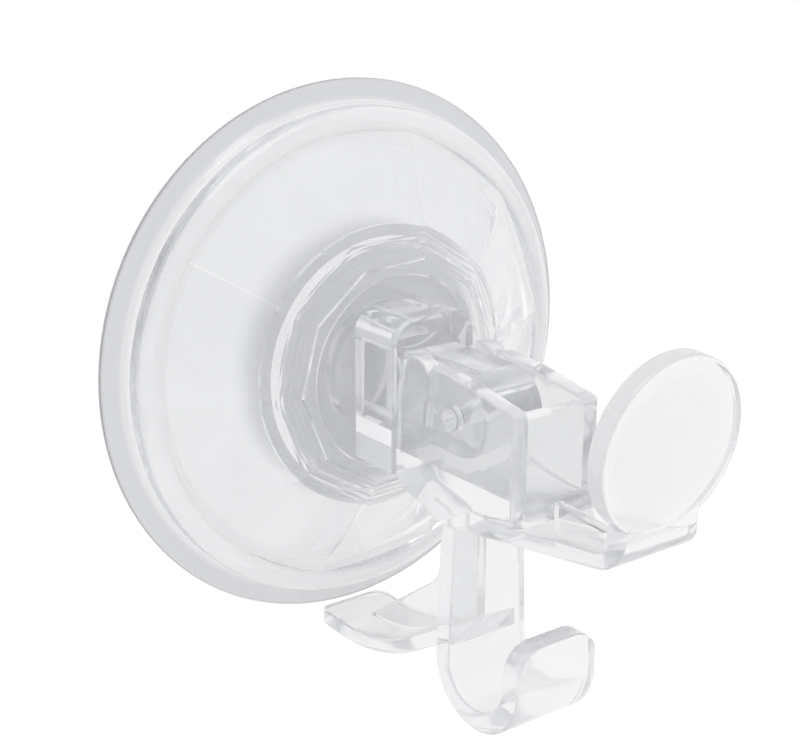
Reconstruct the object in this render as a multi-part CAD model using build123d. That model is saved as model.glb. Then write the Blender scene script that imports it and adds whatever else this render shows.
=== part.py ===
"""Lever-lock suction cup hook, in millimetres.

The wall is the plane y = 0, the object stands out of it towards -Y and +Z is up.
The origin is the centre of the cup's back. Depths below are distances out of the wall.
A soft cup carries a flat blade through a cover with ten flat facets and a guide block, and a lever
with three hooks is pinned to the blade's rounded end. In the locked position, modelled
here, the lever's flat heel bears on the guide block and holds the cup's middle pulled out.
"""
import os
from math import cos, radians, sin, tan

from build123d import *

# Suction cup, soft
CUP_R = 42.5
LIP_EDGE = 1.0
LIP_CONTACT_W = 6.5
HOLLOW_DEPTH = 2.2
LIP_SHOWN = 3.8
SEAT_GAP_OUT = 0.4
SEAT_GAP_IN = 0.6
SEAT_DEPTH = 2.2
PAD_R = 11.0
PAD_DEPTH = 8.2
BLADE_W = 9.0
BLADE_H = 12.0

# Cover: flat-sided dome of ten facets inside a round bead
REST_GAP = 0.05
SIDES = 10
COVER_TURN = 3.35
RIM_R = CUP_R - LIP_SHOWN
RIM_W = 3.8
RIM_TOP = 5.7
RIM_EDGE = 1.2
DOME_FOOT = 4.5
BOSS_R = 21.4
BOSS_FOOT = 13.6
BOSS_TOP_R = 17.7
BOSS_TOP = 15.1
COVER_WALL = 2.2
RING_R = 21.2
RING_W = 2.2
RING_GAP = 0.4
CRATER_R = 14.8
CRATER_FLOOR = 13.6
COVER_HOLE_GAP = 0.4
COLLAR_W = 2.2

# Pivot
PIN_DEPTH = 36.4
PIN_R = 1.6
PIN_RUN_GAP = 0.05
PIN_HOLD_GAP = 0.02

# Guide block, on whose front the lever's flat heel rests
BLOCK_W = 14.8
BLOCK_TOP = 10.8
BLOCK_BOTTOM = -12.3
HEEL_REACH = 12.7
HEEL_GAP = 0.2
BLOCK_FRONT = PIN_DEPTH - HEEL_REACH - HEEL_GAP
BLOCK_ROUND = 3.6
BLOCK_EDGE = 0.5
SLOT_GAP = 0.25

# Lever, box with open top
LEVER_W = 14.8
FORK_GAP = 0.3
BOX_REACH = 14.5
BOX_FRONT = PIN_DEPTH + BOX_REACH
FRONT_WALL = 1.8
BOX_TOP_FRONT = 4.0
BOX_TOP_MID = 5.9
BOX_TOP_MID_AHEAD = 3.1
BOX_TOP_REAR = 6.5
BOX_TOP_BEHIND = 4.2
BOX_FLOOR = -8.6
BOX_UNDER_HEEL = -11.6
BOX_UNDER_REAR = -15.2
BOX_UNDER_STEM = -16.1
BOX_UNDER_FRONT = -13.7
HEEL_SLOPE = 8.1
BOX_CORNER = 2.0
LOBE_BEHIND = 8.2
LOBE_ABOVE = 3.4
LOBE_R = 3.7

# Lever, arm and thumb disc
ARM_T = 2.3
ARM_Z = -12.6
ARM_RISE = 9.3
ARM_CORNER = 4.0
CURL_R = 3.3
DISC_R = 11.9
DISC_T = 2.9
DISC_REACH = 34.5
DISC_DEPTH = PIN_DEPTH + DISC_REACH
DISC_Z = 4.6
DISC_LEAN = 5.7
DISC_ROUND = 0.55
DISC_BACK_EDGE = 0.4
RIB_T = 1.6
ARM_RIB_Z = -9.0
ARM_RIB_REACH = 10.1

# Lever, stem and the two lower hooks
STEM_BEHIND = 3.0
STEM_BACK = PIN_DEPTH - STEM_BEHIND
STRIP_T = 3.3
STEM_W_TOP = 12.6
STEM_W_LOW = 15.0
FRONT_BEND_Z = -35.8
FRONT_BEND_R = 7.55
FRONT_TIP_Z = -29.4
FRONT_TIP_ROUND = 4.6
BACK_TIP = 0.4
BACK_T = 2.5
BACK_W = 12.6
BACK_Z = -44.25
BACK_KNEE = 17.6
BACK_ROOT_Z = -33.3
BACK_BEND_R = 36.0
BACK_TIP_ROUND = 2.5
BACK_TIP_EDGE = 0.7
WEB_TOP = -14.5
WEB_TOP_DEPTH = 27.0
WEB_KNEE_DEPTH = 25.6
WEB_KNEE_Z = -29.8
WEB_KNEE_R = 5.0
WEB_TIP_DEPTH = 7.6


def yz_face(points):
    """Closed outline in the side plane, from (depth, height) pairs."""
    return make_face(Polyline(*[(-depth, z) for depth, z in points], close=True))


def across(sketch, width):
    """Side-plane sketch made into a solid of this width, centred on x = 0."""
    return extrude(Plane.YZ * sketch, width / 2, both=True)


def decagon(corner_r, depth):
    return Plane.XZ.offset(depth) * RegularPolygon(corner_r, SIDES, rotation=COVER_TURN)


def decagon_cone(low_r, low, high_r, high):
    return loft([decagon(low_r, low), decagon(high_r, high)])


def disc(r, low, high):
    """Round slab about the cup's axis, from one depth to the other."""
    return extrude(Plane.XZ.offset(low) * Circle(r), high - low)


def make_suction_cup():
    contact_r = CUP_R - LIP_CONTACT_W
    seat_out = RIM_R + SEAT_GAP_OUT
    seat_in = RIM_R - RIM_W - COVER_WALL - SEAT_GAP_IN
    front = Polyline(
        (0, -HOLLOW_DEPTH), (0, -PAD_DEPTH), (PAD_R, -PAD_DEPTH), (seat_in, -SEAT_DEPTH),
        (seat_out, -SEAT_DEPTH), (CUP_R, -LIP_EDGE), (CUP_R, 0), (contact_r, 0),
    )
    hollow = Polyline((contact_r, 0), (0.6 * contact_r, -0.64 * HOLLOW_DEPTH), (0, -HOLLOW_DEPTH))
    cup = revolve(make_face(front + hollow), Axis.Y)
    shank = Pos(-(PAD_DEPTH + PIN_DEPTH) / 2, 0) * Rectangle(PIN_DEPTH - PAD_DEPTH + 2, BLADE_H)
    knuckle = Pos(-PIN_DEPTH, 0) * Circle(BLADE_H / 2)
    hole = Pos(-PIN_DEPTH, 0) * Circle(PIN_R + PIN_RUN_GAP)
    return cup + across(shank + knuckle - hole, BLADE_W)


def make_dome_cover():
    foot = SEAT_DEPTH + REST_GAP
    inner_r = RIM_R - RIM_W
    bead = Pos((inner_r + RIM_R) / 2, -(foot + RIM_TOP) / 2) * Rectangle(RIM_W, RIM_TOP - foot)
    bead = chamfer(bead.vertices().group_by(Axis.Y)[0], RIM_EDGE)
    corner_share = 1 / cos(radians(180 / SIDES))
    dome = decagon_cone(inner_r * corner_share, DOME_FOOT, BOSS_R, BOSS_FOOT)
    dome += decagon_cone(BOSS_R, BOSS_FOOT, BOSS_TOP_R, BOSS_TOP)
    dome += extrude(decagon(inner_r * corner_share, foot), DOME_FOOT - foot)
    floor = CRATER_FLOOR - COVER_WALL
    hollow = decagon_cone((inner_r - COVER_WALL) * corner_share, foot, BOSS_R - COVER_WALL, floor)
    cover = revolve(bead, Axis.Y) + (dome - hollow)
    ring_foot = PAD_DEPTH + RING_GAP
    cover += disc(RING_R, ring_foot, floor) - disc(RING_R - RING_W, ring_foot, floor)
    hole_r = (BLADE_W ** 2 + BLADE_H ** 2) ** 0.5 / 2 + COVER_HOLE_GAP
    cover += disc(hole_r + COLLAR_W, ring_foot, floor)
    cover -= disc(CRATER_R, CRATER_FLOOR, BOSS_TOP)
    return cover - disc(hole_r, SEAT_DEPTH, BOSS_TOP)


def make_guide_block():
    height = BLOCK_TOP - BLOCK_BOTTOM
    outline = Pos(0, (BLOCK_TOP + BLOCK_BOTTOM) / 2) * Rectangle(BLOCK_W, height)
    top_corners = outline.vertices().group_by(Axis.Y)[-1]
    outline = fillet(top_corners, BLOCK_ROUND)
    foot = CRATER_FLOOR + REST_GAP
    block = extrude(Plane.XZ.offset(foot) * outline, BLOCK_FRONT - foot)
    block = chamfer(block.faces().sort_by(Axis.Y)[0].edges(), BLOCK_EDGE)
    slot = Rectangle(BLADE_W + 2 * SLOT_GAP, BLADE_H + 2 * SLOT_GAP)
    return block - extrude(Plane.XZ.offset(CRATER_FLOOR) * slot, BLOCK_FRONT - CRATER_FLOOR)


def box_outline():
    """Side outline of the lever's box: flat heel behind, cam lobe at its top, level front."""
    heel = PIN_DEPTH - HEEL_REACH
    lobe_depth = PIN_DEPTH - LOBE_BEHIND
    top_start = PIN_DEPTH - BOX_TOP_BEHIND
    shoulder = BOX_TOP_REAR - 1.2
    outline = yz_face([
        (heel, BOX_UNDER_HEEL), (heel + 1.6, BOX_UNDER_HEEL - 2), (heel + HEEL_SLOPE, BOX_UNDER_REAR),
        (STEM_BACK, BOX_UNDER_STEM), (STEM_BACK + STRIP_T, BOX_UNDER_STEM),
        (BOX_FRONT, BOX_UNDER_FRONT), (BOX_FRONT, BOX_TOP_FRONT),
        (PIN_DEPTH + BOX_TOP_MID_AHEAD, BOX_TOP_MID), (top_start, BOX_TOP_REAR), (top_start - 0.9, shoulder),
        (lobe_depth, shoulder), (lobe_depth - LOBE_R + 0.1, LOBE_ABOVE), (heel, 0.3),
    ])
    return outline + Pos(-lobe_depth, LOBE_ABOVE) * Circle(LOBE_R)


def make_box():
    box = across(box_outline(), LEVER_W)
    front_corners = box.edges().filter_by(Axis.Z).group_by(Axis.Y)[0]
    box = fillet(front_corners, BOX_CORNER)
    inner_w = BLADE_W + 2 * FORK_GAP
    inside = Pos(0, 0, BOX_FLOOR) * Box(
        inner_w, BOX_FRONT - FRONT_WALL, 40, align=(Align.CENTER, Align.MAX, Align.MIN))
    return box - inside


def arm_corner():
    """Point in the side plane where the arm's line meets the thumb disc's line."""
    lean = radians(DISC_LEAN)
    rise = radians(ARM_RISE)
    drop = DISC_Z - ARM_Z
    mid_depth = DISC_DEPTH - ARM_T / 2 / cos(lean) - drop * tan(lean)
    corner_z = ARM_Z + (mid_depth - BOX_FRONT) * tan(rise)
    mid_depth = DISC_DEPTH - ARM_T / 2 / cos(lean) - (DISC_Z - corner_z) * tan(lean)
    return mid_depth, corner_z


def make_arm():
    mid_depth, corner_z = arm_corner()
    lean = radians(DISC_LEAN)
    back = 4
    up = 8
    line = FilletPolyline(
        (-BOX_FRONT + back, ARM_Z - back * tan(radians(ARM_RISE))), (-mid_depth, corner_z),
        (-mid_depth - up * sin(lean), corner_z + up * cos(lean)), radius=CURL_R)
    arm = across(trace(line, ARM_T), LEVER_W)
    plan = Pos(0, -DISC_DEPTH / 2) * Rectangle(LEVER_W, DISC_DEPTH)
    plan = fillet(plan.vertices().group_by(Axis.Y)[0], ARM_CORNER)
    arm &= extrude(Pos(0, 0, -20) * plan, 30)
    thumb = Pos(0, 0, -DISC_T / 2) * Cylinder(DISC_R, DISC_T)
    thumb = fillet(thumb.edges().filter_by(GeomType.CIRCLE).sort_by(Axis.Z)[-1], DISC_ROUND)
    thumb = chamfer(thumb.edges().filter_by(GeomType.CIRCLE).sort_by(Axis.Z)[0], DISC_BACK_EDGE)
    thumb = Pos(0, -DISC_DEPTH, DISC_Z) * (Rot(90 + DISC_LEAN, 0, 0) * thumb)
    rib_end = BOX_FRONT + ARM_RIB_REACH
    rib = across(yz_face([
        (BOX_FRONT - 1, ARM_RIB_Z), (BOX_FRONT - 1, ARM_RIB_Z - 3), (rib_end, ARM_RIB_Z - 1.6),
        (rib_end, ARM_RIB_Z - 0.6)]), RIB_T)
    return arm + thumb + rib


def front_hook():
    mid = STEM_BACK + STRIP_T / 2
    far = mid + 2 * FRONT_BEND_R
    line = Line((-mid, -13.5), (-mid, FRONT_BEND_Z))
    line += CenterArc((-mid - FRONT_BEND_R, FRONT_BEND_Z), FRONT_BEND_R, 0, -180)
    line += Line((-far, FRONT_BEND_Z), (-far, FRONT_TIP_Z))
    strip = across(trace(line, STRIP_T), STEM_W_LOW)
    tip_edges = strip.edges().filter_by(Axis.Y).filter_by_position(Axis.Z, FRONT_TIP_Z - 1, FRONT_TIP_Z + 1)
    strip = fillet(tip_edges, FRONT_TIP_ROUND)
    taper = Plane.XZ.offset(STEM_BACK - 1) * make_face(Polyline(
        (-STEM_W_TOP / 2, -13), (STEM_W_TOP / 2, -13), (STEM_W_LOW / 2, -42), (STEM_W_LOW / 2, -50),
        (-STEM_W_LOW / 2, -50), (-STEM_W_LOW / 2, -42), close=True))
    return strip & extrude(taper, 30)


def back_hook():
    """Shallow tongue that falls from the stem towards the wall and levels out under the cup's lip."""
    root = STEM_BACK + STRIP_T / 2
    line = FilletPolyline(
        (-BACK_TIP, BACK_Z), (-BACK_KNEE, BACK_Z), (-root, BACK_ROOT_Z), radius=BACK_BEND_R)
    tongue = across(trace(line, BACK_T), BACK_W)
    tip_edges = tongue.edges().filter_by(Axis.X).group_by(Axis.Y)[-1]
    tongue = fillet(tip_edges, BACK_TIP_EDGE)
    plan = Pos(0, -(BACK_TIP + root) / 2) * Rectangle(BACK_W, root - BACK_TIP)
    plan = fillet(plan.vertices().group_by(Axis.Y)[-1], BACK_TIP_ROUND)
    return tongue & extrude(Pos(0, 0, BACK_Z - 10) * plan, 40)


def stem_web():
    """Thin web in the middle plane, behind the stem and along the top of the back hook."""
    root = STEM_BACK + STRIP_T / 2
    edge = FilletPolyline(
        (-WEB_TOP_DEPTH, WEB_TOP), (-WEB_KNEE_DEPTH, WEB_KNEE_Z), (-WEB_TIP_DEPTH, BACK_Z + 0.5 * BACK_T),
        radius=WEB_KNEE_R)
    rest = Polyline(
        (-WEB_TIP_DEPTH, BACK_Z + 0.5 * BACK_T), (-WEB_TIP_DEPTH, BACK_Z), (-BACK_KNEE, BACK_Z + 1.4),
        (-root, BACK_ROOT_Z), (-root, WEB_TOP), (-WEB_TOP_DEPTH, WEB_TOP))
    return across(make_face(edge + rest), RIB_T)


def make_lever_hook():
    lever = make_box() + make_arm() + front_hook() + back_hook() + stem_web()
    bore = Plane.YZ * (Pos(-PIN_DEPTH, 0) * Circle(PIN_R + PIN_HOLD_GAP))
    return lever - extrude(bore, LEVER_W, both=True)


def make_pivot_pin():
    return across(Pos(-PIN_DEPTH, 0) * Circle(PIN_R), LEVER_W)


PARTS = {
    "suction_cup": make_suction_cup,
    "dome_cover": make_dome_cover,
    "guide_block": make_guide_block,
    "lever_hook": make_lever_hook,
    "pivot_pin": make_pivot_pin,
}


def main():
    os.makedirs("parts", exist_ok=True)
    for name, make in PARTS.items():
        solid = make()
        export_step(solid, f"parts/{name}.step")
        print(name, "solids", len(solid.solids()), "volume", round(solid.volume, 1), "valid", solid.is_valid)


main()
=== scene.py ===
import math

import bmesh
import bpy
from mathutils import Matrix, Vector


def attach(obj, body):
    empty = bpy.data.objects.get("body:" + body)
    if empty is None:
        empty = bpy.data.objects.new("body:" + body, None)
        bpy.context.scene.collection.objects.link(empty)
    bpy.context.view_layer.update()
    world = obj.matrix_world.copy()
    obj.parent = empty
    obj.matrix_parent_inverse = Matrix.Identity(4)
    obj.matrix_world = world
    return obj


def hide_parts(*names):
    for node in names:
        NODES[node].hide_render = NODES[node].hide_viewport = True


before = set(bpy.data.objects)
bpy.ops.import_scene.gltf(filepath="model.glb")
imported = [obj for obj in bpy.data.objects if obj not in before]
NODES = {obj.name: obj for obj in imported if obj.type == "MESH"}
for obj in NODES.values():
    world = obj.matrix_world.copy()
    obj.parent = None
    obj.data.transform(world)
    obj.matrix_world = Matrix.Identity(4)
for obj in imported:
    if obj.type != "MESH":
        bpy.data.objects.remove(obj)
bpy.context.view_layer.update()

# Lengths are in metres. Depth is the distance from the wall, towards the room.
# Outlines turned about the cup's axis are (radius, depth) points.

# The cup: radius, where its lip shows round the cover, thick middle, and the seat of the cover's bead
CUP_R = 0.0425
LIP_R = 0.0384
THICK_R = 0.0190
SEAT_DEPTH = 0.0022
SEAT_OUT = 0.0391
SEAT_IN = 0.0321
HOLLOW_BACK = [(0, 0.0022), (0.0110, 0.00195), (0.0216, 0.0014), (0.0300, 0.0006), (0.0360, 0)]
LIP_DISH = [(0.0416, 0.00112), (0.0408, 0.00122), (0.0400, 0.00142), (0.0394, 0.0018)]
THICK_MIDDLE = [(0.0315, 0.00238), (0.0115, 0.00805), (0.0108, 0.0082), (0, 0.0082)]

# The rounds at the lip's edge, behind and in front: middle, and how far each bends
LIP_BACK = (0.04205, 0.00045)
LIP_BACK_ROUND = 0.00045
LIP_FRONT = (0.0421, 0.0007)
LIP_FRONT_ROUND = 0.0004

# The blade: the pin's depth, root inside the cup, width, height, softened edge, and its hole's radius
PIN_DEPTH = 0.0364
BLADE_ROOT = 0.0070
BLADE_W = 0.0090
BLADE_H = 0.0120
BLADE_EDGE = 0.0006
BLADE_STEPS = 24
HOLE_R = 0.00165
HOLE_STEPS = 48

# The cover's facets, how far their corners are turned from +X, the points across each facet as shares
# of its width, and how much further out the fine ridge at each corner stands, as a share
SIDES = 10
COVER_TURN = math.radians(3.35)
FACET_POINTS = [0.0, 0.011] + [k / 16 for k in range(1, 16)] + [0.989]
RIDGE = 0.0022

# The cover's round bead and the foot of its facets
BEAD_IN = 0.0349
BEAD_OUT = 0.0387
BEAD_FOOT = 0.00225
BEAD_TOP = 0.0057
BEAD_ROUND = 0.0016
BEAD_CHAMFER = 0.0003
BEAD_STEPS = 10
FACET_FOOT = 0.0045

# The cover's boss: its slope, the fine steps on the slope, and the edge round its top
BOSS_FOOT = 0.0136
BOSS_TOP = 0.0151
BOSS_R = 0.0214
BOSS_TOP_R = 0.0177
TERRACES = 4
TERRACE_LEAN = 0.00018
TERRACE_PLACE = 0.6
TERRACE_FOOT = 0.25
BOSS_STEP = 0.00035
BOSS_EDGE_FOOT = 0.0001
BOSS_EDGE_TOP = 0.00035

# The boss's crater, chamfered at its top, and the hole in it for the blade
CRATER_R = 0.0148
CRATER_FLOOR = 0.0136
CRATER_CHAMFER = 0.0005
CRATER_CHAMFER_DEEP = 0.0003
CRATER_PAST = 0.0002
COVER_HOLE = 0.0079

# The space inside the cover, and the ring and the collar that press on the cup
HOLLOW_FOOT_R = 0.0327
HOLLOW_TOP_R = 0.0183
HOLLOW_TOP = 0.0114
HOLLOW_PAST = 0.001
RING_FOOT = 0.0086
RING_OUT = 0.0212
RING_IN = 0.0190
RING_SINK = 0.0006
COLLAR_OUT = 0.0101

# The lever: how far its outer edges are rounded, and which edges count as outer ones or as flat seams
LEVER_EDGE = 0.0004
OUTER_ANGLE = math.radians(60)
SEAM_ANGLE = math.radians(3)
SEAM_FACING = 0.99
FLAT_ANGLE = math.radians(0.05)
MERGE = 2e-6

# The middle of the thumb disc's front, its radius, and the zone of its own rounded rim
DISC = Vector((0.0, -0.0709, 0.0046))
DISC_R = 0.0119
RIM_DEEP = 0.005
RIM_IN = 0.0014
RIM_OUT = 0.0010

# Smooth shading stops at creases sharper than these, in degrees, and points this close are one point
CREASE = 13
LEVER_CREASE = 30
SAME_POINT = 1e-7

# Clear plastic: refraction, ripple and streaks in its surface, and its colour in the depth
PLASTIC_IOR = 1.49
RIPPLE_DETAIL = 1.5
RIPPLE_DEPTH = 0.0004
STREAK_SCALE = 90.0
STREAK_DETAIL = 3.0
STREAK_BEND = 0.4
STREAK_LOW = 0.3
STREAK_HIGH = 0.7
ROUGH_SPREAD = 0.2
HAZE_SPREAD = 0.15
DEPTH_COLOUR = (0.82, 0.835, 0.86, 1.0)

# The thumb disc's frosting: its roughness, and from where to where it grows, as shares of the radius
FROST_ROUGHNESS = 0.25
FROST_FROM = 1.02
FROST_FULL = 0.70

# Where the cup's colours change: past its middle, past the cover, and before its edge, where the painted
# shade of the lip's dark edge line begins
THICK_FADE = 0.003
LIP_FADE = 0.001
LIP_EDGE_SHADE_FADE = 0.0003

# Where the blade begins to be clear, and over what depth
BLADE_FROM = 0.0086
BLADE_FADE = 0.004

# Sockets of a mix node that mixes colours
MIX_FACTOR, MIX_A, MIX_B, MIX_RESULT = 0, 6, 7, 2

# The studio: its colours, the way to its light side, and its strength as a light
WHITE = (1, 1, 1, 1)
STUDIO_GREY = (0.80, 0.81, 0.83, 1)
STUDIO_DARK = (0.64, 0.65, 0.67, 1)
GREY_AT = 0.35
WHITE_AT = 0.70
LIGHT_SIDE = Vector((-0.35, 0.85, 0.40)).normalized()
STUDIO_LIGHT = 0.8

# The floor: its size and height, its colour, and its glow where it is looked at
FLOOR_SIZE = 4.0
FLOOR_Z = -0.11
FLOOR_COLOUR = (0.92, 0.92, 0.92, 1)
FLOOR_GLOW = 1.035
FLOOR_GLOW_SHARE = 0.92

# The lamps: where they stand, what they point at, their size and power
LAMP_TARGET = (0, -0.03, 0)
LAMP_SIZE = 0.8
KEY_PLACE = (-0.15, -0.45, 0.95)
KEY_POWER = 4.0
FILL_PLACE = (0.80, -0.50, 0.20)
FILL_POWER = 1.5

# The camera, as fitted to the photograph
CAMERA_LENS_MM = 65.8
CAMERA_SENSOR_MM = 36.0
CAMERA_NEAR = 0.01
CAMERA_AZIMUTH = math.radians(-36.118)
CAMERA_ELEVATION = math.radians(17.561)
CAMERA_DISTANCE = 0.240027
CAMERA_TARGET = Vector((0.010779, 0.0, -0.006294))

# How many times light may be turned on its way through the plastic
LIGHT_TURNS = 48


# Materials: clear moulded plastic with a little haze in it

def clear_plastic(name, tint, roughness, haze, ripple, ripple_scale, absorb, disc_haze=0.0):
    """Refracting plastic with streaky haze, slow surface ripple and a cool grey depth of colour."""
    mat = bpy.data.materials.new(name)
    mat.use_nodes = True
    nodes, links = mat.node_tree.nodes, mat.node_tree.links
    bsdf = nodes["Principled BSDF"]
    bsdf.inputs["Base Color"].default_value = (*tint, 1.0)
    bsdf.inputs["IOR"].default_value = PLASTIC_IOR

    coords = nodes.new("ShaderNodeTexCoord")
    ripple_noise = nodes.new("ShaderNodeTexNoise")
    ripple_noise.inputs["Scale"].default_value = ripple_scale
    ripple_noise.inputs["Detail"].default_value = RIPPLE_DETAIL
    links.new(coords.outputs["Object"], ripple_noise.inputs["Vector"])
    bump = nodes.new("ShaderNodeBump")
    bump.inputs["Strength"].default_value = ripple
    bump.inputs["Distance"].default_value = RIPPLE_DEPTH
    links.new(ripple_noise.outputs["Fac"], bump.inputs["Height"])
    links.new(bump.outputs["Normal"], bsdf.inputs["Normal"])

    streaks = nodes.new("ShaderNodeTexNoise")
    streaks.inputs["Scale"].default_value = STREAK_SCALE
    streaks.inputs["Detail"].default_value = STREAK_DETAIL
    streaks.inputs["Distortion"].default_value = STREAK_BEND
    links.new(coords.outputs["Object"], streaks.inputs["Vector"])
    rough_out = by_streaks(
        nodes, links, streaks, roughness * (1 - ROUGH_SPREAD), roughness * (1 + ROUGH_SPREAD))
    clear_out = by_streaks(
        nodes, links, streaks, 1 - haze * (1 - HAZE_SPREAD), 1 - haze * (1 + HAZE_SPREAD))
    if disc_haze:
        rough_out = frost(nodes, links, coords, rough_out, FROST_ROUGHNESS)
        clear_out = frost(nodes, links, coords, clear_out, 1.0 - disc_haze)
    links.new(rough_out, bsdf.inputs["Roughness"])
    side = nodes.new("ShaderNodeNewGeometry")
    outside_only = nodes.new("ShaderNodeMath")
    outside_only.operation = "MAXIMUM"
    links.new(side.outputs["Backfacing"], outside_only.inputs[0])
    links.new(clear_out, outside_only.inputs[1])
    links.new(outside_only.outputs["Value"], bsdf.inputs["Transmission Weight"])

    volume = nodes.new("ShaderNodeVolumeAbsorption")
    volume.inputs["Color"].default_value = DEPTH_COLOUR
    volume.inputs["Density"].default_value = absorb
    links.new(volume.outputs["Volume"], nodes["Material Output"].inputs["Volume"])
    return mat


def by_streaks(nodes, links, streaks, low, high):
    """A value that goes from low to high with the streaks."""
    spread = nodes.new("ShaderNodeMapRange")
    spread.inputs["From Min"].default_value = STREAK_LOW
    spread.inputs["From Max"].default_value = STREAK_HIGH
    spread.inputs["To Min"].default_value = low
    spread.inputs["To Max"].default_value = high
    links.new(streaks.outputs["Fac"], spread.inputs["Value"])
    return spread.outputs["Result"]


def frost(nodes, links, coords, value, frosted):
    """Blends a value into another one round the thumb disc's middle."""
    away = nodes.new("ShaderNodeVectorMath")
    away.operation = "DISTANCE"
    away.inputs[1].default_value = DISC
    links.new(coords.outputs["Object"], away.inputs[0])
    mask = nodes.new("ShaderNodeMapRange")
    mask.inputs["From Min"].default_value = DISC_R * FROST_FROM
    mask.inputs["From Max"].default_value = DISC_R * FROST_FULL
    links.new(away.outputs["Value"], mask.inputs["Value"])
    mix = nodes.new("ShaderNodeMix")
    links.new(mask.outputs["Result"], mix.inputs["Factor"])
    links.new(value, mix.inputs["A"])
    mix.inputs["B"].default_value = frosted
    return mix.outputs["Result"]


def cup_colours(mat, thick, clear, lip, edge):
    """Greyer in the cup's thick middle and in its lip, a dark line of painted shade at the lip's edge, and
    clear in the blade.
    """
    nodes, links = mat.node_tree.nodes, mat.node_tree.links
    coords = nodes.new("ShaderNodeTexCoord")
    flat = nodes.new("ShaderNodeVectorMath")
    flat.operation = "MULTIPLY"
    flat.inputs[1].default_value = (1.0, 0.0, 1.0)
    links.new(coords.outputs["Object"], flat.inputs[0])
    radius = nodes.new("ShaderNodeVectorMath")
    radius.operation = "LENGTH"
    links.new(flat.outputs["Vector"], radius.inputs[0])
    place = nodes.new("ShaderNodeMapRange")
    place.inputs["From Max"].default_value = CUP_R
    links.new(radius.outputs["Value"], place.inputs["Value"])
    ramp = nodes.new("ShaderNodeValToRGB")
    stops = ramp.color_ramp.elements
    stops[0].position, stops[0].color = THICK_R / CUP_R, (*thick, 1.0)
    # The last stop, the edge colour, is painted shade: a dark line along the lip's outer edge.
    stops[1].position, stops[1].color = 1.0, (*edge, 1.0)
    between = [
        (THICK_R + THICK_FADE, clear), (LIP_R, clear), (LIP_R + LIP_FADE, lip), (CUP_R - LIP_EDGE_SHADE_FADE, lip)]
    for radius_here, colour_here in between:
        stops.new(radius_here / CUP_R).color = (*colour_here, 1.0)
    links.new(place.outputs["Result"], ramp.inputs["Fac"])

    split = nodes.new("ShaderNodeSeparateXYZ")
    links.new(coords.outputs["Object"], split.inputs["Vector"])
    in_blade = nodes.new("ShaderNodeMapRange")
    in_blade.inputs["From Min"].default_value = -BLADE_FROM
    in_blade.inputs["From Max"].default_value = -BLADE_FROM - BLADE_FADE
    links.new(split.outputs["Y"], in_blade.inputs["Value"])
    colour = nodes.new("ShaderNodeMix")
    colour.data_type = "RGBA"
    links.new(in_blade.outputs["Result"], colour.inputs[MIX_FACTOR])
    links.new(ramp.outputs["Color"], colour.inputs[MIX_A])
    colour.inputs[MIX_B].default_value = (*clear, 1.0)
    links.new(colour.outputs[MIX_RESULT], nodes["Principled BSDF"].inputs["Base Color"])


def paint(name, mat):
    """Gives the frame's own solid a material."""
    obj = NODES[name]
    obj.data.materials.clear()
    obj.data.materials.append(mat)


# Turned and moulded meshes

def piece(name, bm):
    """Object from a bmesh, with doubled points joined and its faces turned outwards."""
    bmesh.ops.remove_doubles(bm, verts=bm.verts, dist=SAME_POINT)
    bmesh.ops.recalc_face_normals(bm, faces=bm.faces)
    mesh = bpy.data.meshes.new(name)
    bm.to_mesh(mesh)
    bm.free()
    obj = bpy.data.objects.new(name, mesh)
    bpy.context.scene.collection.objects.link(obj)
    return obj


def turned(name, outline, closed=False, faceted=False):
    """Solid about the cup's axis, round or ten-sided. A closed outline makes a ring."""
    bm = bmesh.new()
    around = SIDES * len(FACET_POINTS)
    rings = []
    for radius, depth in outline:
        if radius == 0:
            rings.append([bm.verts.new((0, -depth, 0))] * around)
            continue
        ring = []
        for step in range(around):
            facet, place = divmod(step, len(FACET_POINTS))
            across = (FACET_POINTS[place] - 0.5) * 2 * math.pi / SIDES
            angle = COVER_TURN + (facet + 0.5) * 2 * math.pi / SIDES + across
            here = radius
            if faceted:
                here *= math.cos(math.pi / SIDES) / math.cos(across) + (RIDGE if place == 0 else 0)
            ring.append(bm.verts.new((here * math.cos(angle), -depth, here * math.sin(angle))))
        rings.append(ring)
    pairs = list(zip(rings, rings[1:] + rings[:1])) if closed else list(zip(rings, rings[1:]))
    for low, high in pairs:
        for step in range(around):
            after = (step + 1) % around
            corners = [low[step], low[after], high[after], high[step]]
            corners = [v for k, v in enumerate(corners) if v not in corners[:k]]
            bm.faces.new(corners)
    if not closed:
        for ring in (rings[0], rings[-1]):
            if ring[0] is not ring[1]:
                bm.faces.new(ring)
    return piece(name, bm)


def arc(radius, depth, bend, start, end, steps):
    """Round of an outline about (radius, depth), by angle from straight outwards to straight forwards."""
    points = []
    for k in range(steps + 1):
        angle = math.radians(start + (end - start) * k / steps)
        points.append((radius + bend * math.cos(angle), depth + bend * math.sin(angle)))
    return points


def combine(obj, other, operation):
    """Joins another mesh to this one, or cuts it out, and deletes the other."""
    modifier = obj.modifiers.new(operation.lower(), "BOOLEAN")
    modifier.operation = operation
    modifier.solver = "EXACT"
    modifier.object = other
    bpy.context.view_layer.update()
    result = bpy.data.meshes.new_from_object(obj.evaluated_get(bpy.context.evaluated_depsgraph_get()))
    obj.modifiers.clear()
    obj.data = result
    bpy.data.objects.remove(other)


def finish_piece(obj, node, body, mat, crease=CREASE):
    """Smooth shading up to a crease's angle, material, and the frame's node that the piece stands for."""
    obj.data.shade_smooth()
    obj.data.set_sharp_from_angle(angle=math.radians(crease))
    obj.data.materials.clear()
    obj.data.materials.append(mat)
    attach(obj, body)
    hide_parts(node)


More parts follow.
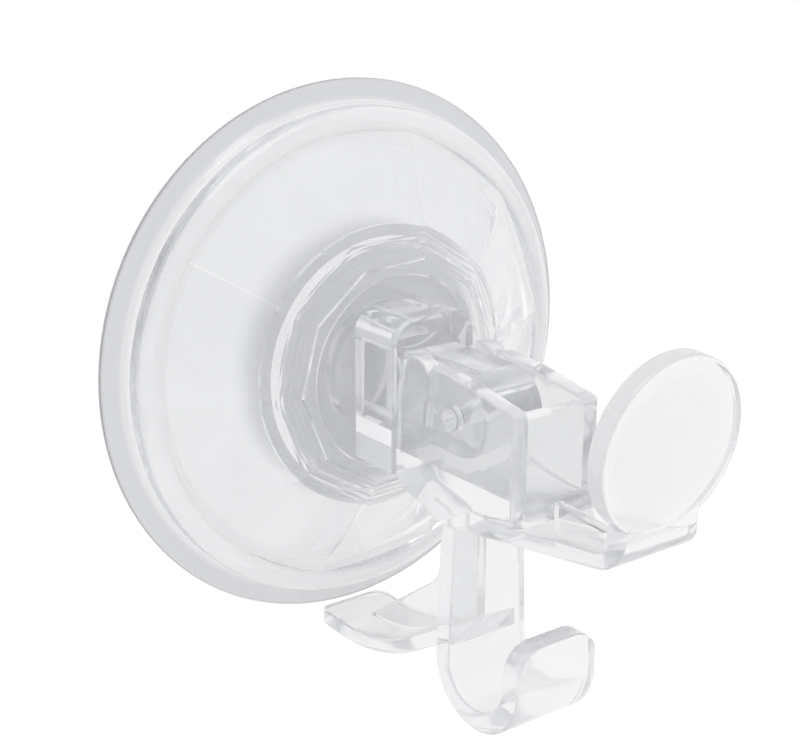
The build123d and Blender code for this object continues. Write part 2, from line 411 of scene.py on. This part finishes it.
def make_blade():
    """Flat blade from inside the cup's middle to its rounded end, edges softened, pin hole through it."""
    bm = bmesh.new()
    half = BLADE_H / 2
    outline = [(BLADE_ROOT, -half), (PIN_DEPTH, -half)]
    for k in range(1, BLADE_STEPS):
        angle = -math.pi / 2 + math.pi * k / BLADE_STEPS
        outline.append((PIN_DEPTH + half * math.cos(angle), half * math.sin(angle)))
    outline += [(PIN_DEPTH, half), (BLADE_ROOT, half)]
    sides = [[bm.verts.new((x, -depth, z)) for depth, z in outline] for x in (-BLADE_W / 2, BLADE_W / 2)]
    caps = [bm.faces.new(side) for side in sides]
    for k in range(len(outline)):
        after = (k + 1) % len(outline)
        bm.faces.new([sides[0][k], sides[0][after], sides[1][after], sides[1][k]])
    bmesh.ops.recalc_face_normals(bm, faces=bm.faces)
    edges = [e for cap in caps for e in cap.edges]
    bmesh.ops.bevel(bm, geom=edges, offset=BLADE_EDGE, segments=5, profile=0.5, affect="EDGES")
    blade = piece("blade", bm)
    bm = bmesh.new()
    bmesh.ops.create_cone(
        bm, cap_ends=True, segments=HOLE_STEPS, radius1=HOLE_R, radius2=HOLE_R, depth=2 * BLADE_W,
        matrix=Matrix.Translation((0, -PIN_DEPTH, 0)) @ Matrix.Rotation(math.pi / 2, 4, "Y"))
    combine(blade, piece("blade_hole", bm), "DIFFERENCE")
    return blade


def make_cup(mat):
    """Soft cup under suction: hollow back, flat contact ring, thin dished lip, thick middle, blade."""
    outline = HOLLOW_BACK + arc(*LIP_BACK, LIP_BACK_ROUND, -90, 0, 5)
    outline += arc(*LIP_FRONT, LIP_FRONT_ROUND, 15, 90, 4) + LIP_DISH
    outline += [(SEAT_OUT, SEAT_DEPTH), (SEAT_IN, SEAT_DEPTH)] + THICK_MIDDLE
    cup = turned("soft_cup", outline)
    combine(cup, make_blade(), "UNION")
    finish_piece(cup, "suction_cup", "base", mat)


def on_disc_rim(place):
    """Is the place on the thumb disc's own rim, which the solid rounds already."""
    away = math.hypot(place.x, place.z - DISC.z)
    return place.y < DISC.y + RIM_DEEP and away > DISC_R - RIM_IN and place.z > DISC.z - DISC_R - RIM_OUT


def make_lever(mat):
    """The lever's solid with its outer edges rounded, as they come out of the mould."""
    bm = bmesh.new()
    bm.from_mesh(NODES["lever_hook"].data)
    bmesh.ops.remove_doubles(bm, verts=bm.verts, dist=MERGE)
    bmesh.ops.dissolve_limit(bm, angle_limit=FLAT_ANGLE, verts=bm.verts, edges=bm.edges)
    bm.normal_update()
    seams = [
        e for e in bm.edges if e.calc_face_angle(math.pi) < SEAM_ANGLE
        and all(abs(f.normal.x) > SEAM_FACING for f in e.link_faces)]
    bmesh.ops.dissolve_edges(bm, edges=seams, use_verts=False)
    bm.normal_update()
    outer = []
    for edge in bm.edges:
        if edge.is_convex and edge.calc_face_angle(0) > OUTER_ANGLE:
            if not on_disc_rim((edge.verts[0].co + edge.verts[1].co) / 2):
                outer.append(edge)
    bmesh.ops.bevel(bm, geom=outer, offset=LEVER_EDGE, segments=4, profile=0.5, affect="EDGES")
    for edge in bm.edges:
        edge.smooth = True
    lever = piece("clear_lever", bm)
    if lever.data.has_custom_normals:
        lever.data.attributes.remove(lever.data.attributes["custom_normal"])
    finish_piece(lever, "lever_hook", "lever", mat, crease=LEVER_CREASE)


def make_dome():
    """The cover's outer form: ten ridged facets and a low boss with fine steps on its slope."""
    corner = 1 / math.cos(math.pi / SIDES)
    outline = [(BEAD_IN * corner, BEAD_FOOT), (BEAD_IN * corner, FACET_FOOT), (BOSS_R, BOSS_FOOT)]
    slope = BOSS_TOP - BOSS_STEP - BOSS_FOOT
    for k in range(TERRACES):
        radius = BOSS_R + (BOSS_TOP_R - BOSS_R) * ((k + TERRACE_PLACE) / TERRACES)
        outline.append((radius + TERRACE_LEAN, BOSS_FOOT + slope * (k + TERRACE_FOOT) / TERRACES))
        outline.append((radius - TERRACE_LEAN, BOSS_FOOT + slope * (k + 1) / TERRACES))
    outline += [(BOSS_TOP_R - BOSS_EDGE_FOOT, BOSS_TOP - BOSS_STEP), (BOSS_TOP_R - BOSS_EDGE_TOP, BOSS_TOP)]
    return turned("clear_cover", outline, faceted=True)


def make_cover(mat):
    """Clear cover: ten flat facets inside a round bead, a low stepped boss with a round crater."""
    cover = make_dome()
    bead = [(BEAD_IN, BEAD_FOOT), (BEAD_OUT - BEAD_CHAMFER, BEAD_FOOT), (BEAD_OUT, BEAD_FOOT + BEAD_CHAMFER)]
    bead += arc(BEAD_OUT - BEAD_ROUND, BEAD_TOP - BEAD_ROUND, BEAD_ROUND, 0, 90, BEAD_STEPS)
    bead += arc(BEAD_IN + BEAD_ROUND, BEAD_TOP - BEAD_ROUND, BEAD_ROUND, 90, 180, BEAD_STEPS)
    combine(cover, turned("bead", bead, closed=True), "UNION")
    hollow = [
        (HOLLOW_FOOT_R, BEAD_FOOT - HOLLOW_PAST), (HOLLOW_FOOT_R, BEAD_FOOT), (HOLLOW_TOP_R, HOLLOW_TOP)]
    combine(cover, turned("hollow", hollow), "DIFFERENCE")
    top = HOLLOW_TOP + RING_SINK
    ring = [(RING_IN, RING_FOOT), (RING_OUT, RING_FOOT), (RING_OUT, top), (RING_IN, top)]
    combine(cover, turned("ring", ring, closed=True), "UNION")
    combine(cover, turned("collar", [(COLLAR_OUT, RING_FOOT), (COLLAR_OUT, top)]), "UNION")
    crater = [
        (CRATER_R, CRATER_FLOOR), (CRATER_R, BOSS_TOP - CRATER_CHAMFER_DEEP),
        (CRATER_R + CRATER_CHAMFER, BOSS_TOP + CRATER_PAST)]
    combine(cover, turned("crater", crater), "DIFFERENCE")
    combine(cover, turned("hole", [(COVER_HOLE, 0.0), (COVER_HOLE, 2 * BOSS_TOP)]), "DIFFERENCE")
    finish_piece(cover, "dome_cover", "base", mat)


# Light, floor and view

def seen_ray(nodes, links):
    """Is 1 for rays from the camera, mirrored ones and ones through the plastic."""
    path = nodes.new("ShaderNodeLightPath")
    total = path.outputs["Is Camera Ray"]
    for kind in ("Is Glossy Ray", "Is Transmission Ray"):
        either = nodes.new("ShaderNodeMath")
        either.operation = "MAXIMUM"
        links.new(total, either.inputs[0])
        links.new(path.outputs[kind], either.inputs[1])
        total = either.outputs["Value"]
    return path, total


def backdrop(nodes, colour, strength=1.0):
    """Background of one colour."""
    shader = nodes.new("ShaderNodeBackground")
    shader.inputs["Color"].default_value = colour
    shader.inputs["Strength"].default_value = strength
    return shader


def make_world():
    """White to the camera, light to dark grey in mirrored and bent rays, and soft grey as a light."""
    world = bpy.data.worlds.new("studio")
    bpy.context.scene.world = world
    world.use_nodes = True
    nodes, links = world.node_tree.nodes, world.node_tree.links
    nodes.clear()
    path, seen = seen_ray(nodes, links)
    coords = nodes.new("ShaderNodeTexCoord")
    toward = nodes.new("ShaderNodeVectorMath")
    toward.operation = "DOT_PRODUCT"
    toward.inputs[1].default_value = LIGHT_SIDE
    links.new(coords.outputs["Generated"], toward.inputs[0])
    spread = nodes.new("ShaderNodeMapRange")
    spread.inputs["From Min"].default_value = -1.0
    spread.inputs["From Max"].default_value = 1.0
    links.new(toward.outputs["Value"], spread.inputs["Value"])
    ramp = nodes.new("ShaderNodeValToRGB")
    stops = ramp.color_ramp.elements
    stops[0].position, stops[0].color = 0.0, STUDIO_DARK
    stops[1].position, stops[1].color = WHITE_AT, WHITE
    stops.new(GREY_AT).color = STUDIO_GREY
    links.new(spread.outputs["Result"], ramp.inputs["Fac"])
    studio = backdrop(nodes, WHITE)
    links.new(ramp.outputs["Color"], studio.inputs["Color"])
    lit = backdrop(nodes, STUDIO_GREY, STUDIO_LIGHT)
    soft = nodes.new("ShaderNodeMixShader")
    links.new(seen, soft.inputs["Fac"])
    links.new(lit.outputs["Background"], soft.inputs[1])
    links.new(studio.outputs["Background"], soft.inputs[2])
    mix = nodes.new("ShaderNodeMixShader")
    links.new(path.outputs["Is Camera Ray"], mix.inputs["Fac"])
    links.new(soft.outputs["Shader"], mix.inputs[1])
    links.new(backdrop(nodes, WHITE).outputs["Background"], mix.inputs[2])
    out = nodes.new("ShaderNodeOutputWorld")
    links.new(mix.outputs["Shader"], out.inputs["Surface"])


def make_floor():
    """Pale floor below the hook, white where it is looked at, with the hook's faint shadow."""
    bpy.ops.mesh.primitive_plane_add(size=FLOOR_SIZE, location=(0.0, 0.0, FLOOR_Z))
    floor = bpy.context.object
    floor.name = "floor"
    mat = bpy.data.materials.new("floor")
    mat.use_nodes = True
    nodes, links = mat.node_tree.nodes, mat.node_tree.links
    nodes.clear()
    path, seen = seen_ray(nodes, links)
    matt = nodes.new("ShaderNodeBsdfDiffuse")
    matt.inputs["Color"].default_value = FLOOR_COLOUR
    glow = nodes.new("ShaderNodeEmission")
    glow.inputs["Color"].default_value = WHITE
    glow.inputs["Strength"].default_value = FLOOR_GLOW
    share = nodes.new("ShaderNodeMath")
    share.operation = "MULTIPLY"
    share.inputs[1].default_value = FLOOR_GLOW_SHARE
    links.new(seen, share.inputs[0])
    mix = nodes.new("ShaderNodeMixShader")
    links.new(share.outputs["Value"], mix.inputs["Fac"])
    links.new(matt.outputs["BSDF"], mix.inputs[1])
    links.new(glow.outputs["Emission"], mix.inputs[2])
    out = nodes.new("ShaderNodeOutputMaterial")
    links.new(mix.outputs["Shader"], out.inputs["Surface"])
    floor.data.materials.append(mat)


def area_light(name, place, power, mirrored):
    """Square soft lamp that points at the hook, seen in mirrored rays or not."""
    data = bpy.data.lights.new(name, "AREA")
    data.shape = "RECTANGLE"
    data.size = LAMP_SIZE
    data.size_y = LAMP_SIZE
    data.energy = power
    obj = bpy.data.objects.new(name, data)
    bpy.context.scene.collection.objects.link(obj)
    obj.location = place
    obj.rotation_euler = (Vector(LAMP_TARGET) - Vector(place)).to_track_quat("-Z", "Y").to_euler()
    obj.visible_glossy = mirrored
    obj.visible_transmission = False


def make_camera():
    """Camera at the photograph's angle."""
    data = bpy.data.cameras.new("camera")
    data.lens = CAMERA_LENS_MM
    data.sensor_width = CAMERA_SENSOR_MM
    data.clip_start = CAMERA_NEAR
    cam = bpy.data.objects.new("camera", data)
    bpy.context.scene.collection.objects.link(cam)
    offset = Vector((
        math.sin(CAMERA_AZIMUTH) * math.cos(CAMERA_ELEVATION),
        -math.cos(CAMERA_AZIMUTH) * math.cos(CAMERA_ELEVATION),
        math.sin(CAMERA_ELEVATION)))
    cam.location = CAMERA_TARGET + CAMERA_DISTANCE * offset
    cam.rotation_euler = (-offset).to_track_quat("-Z", "Y").to_euler()
    bpy.context.scene.camera = cam


# The pieces and their plastics

SOFT = clear_plastic(
    "soft_cup", tint=(0.95, 0.953, 0.958), roughness=0.08, haze=0.20,
    ripple=0.03, ripple_scale=120, absorb=14.0)
# The edge colour is painted shade: a dark line along the lip's outer edge.
cup_colours(
    SOFT, thick=(0.60, 0.605, 0.62), clear=(0.965, 0.967, 0.97),
    lip=(0.70, 0.705, 0.72), edge=(0.40, 0.405, 0.42))
COVER = clear_plastic(
    "clear_cover", tint=(0.96, 0.962, 0.966), roughness=0.05, haze=0.16,
    ripple=0.02, ripple_scale=120, absorb=14.0)
LEVER = clear_plastic(
    "clear_lever", tint=(0.935, 0.938, 0.943), roughness=0.10, haze=0.20,
    ripple=0.04, ripple_scale=160, absorb=8.0, disc_haze=0.30)
PIN = clear_plastic(
    "clear_pin", tint=(0.84, 0.845, 0.855), roughness=0.10, haze=0.25,
    ripple=0.05, ripple_scale=400, absorb=30.0)

make_cup(SOFT)
make_cover(COVER)
paint("guide_block", COVER)
make_lever(LEVER)
paint("pivot_pin", PIN)

make_world()
make_floor()
make_camera()
area_light("key", KEY_PLACE, KEY_POWER, mirrored=True)
area_light("fill", FILL_PLACE, FILL_POWER, mirrored=False)

bpy.context.scene.view_settings.view_transform = "Standard"
paths = bpy.context.scene.cycles
paths.max_bounces = LIGHT_TURNS
paths.glossy_bounces = LIGHT_TURNS
paths.transmission_bounces = LIGHT_TURNS
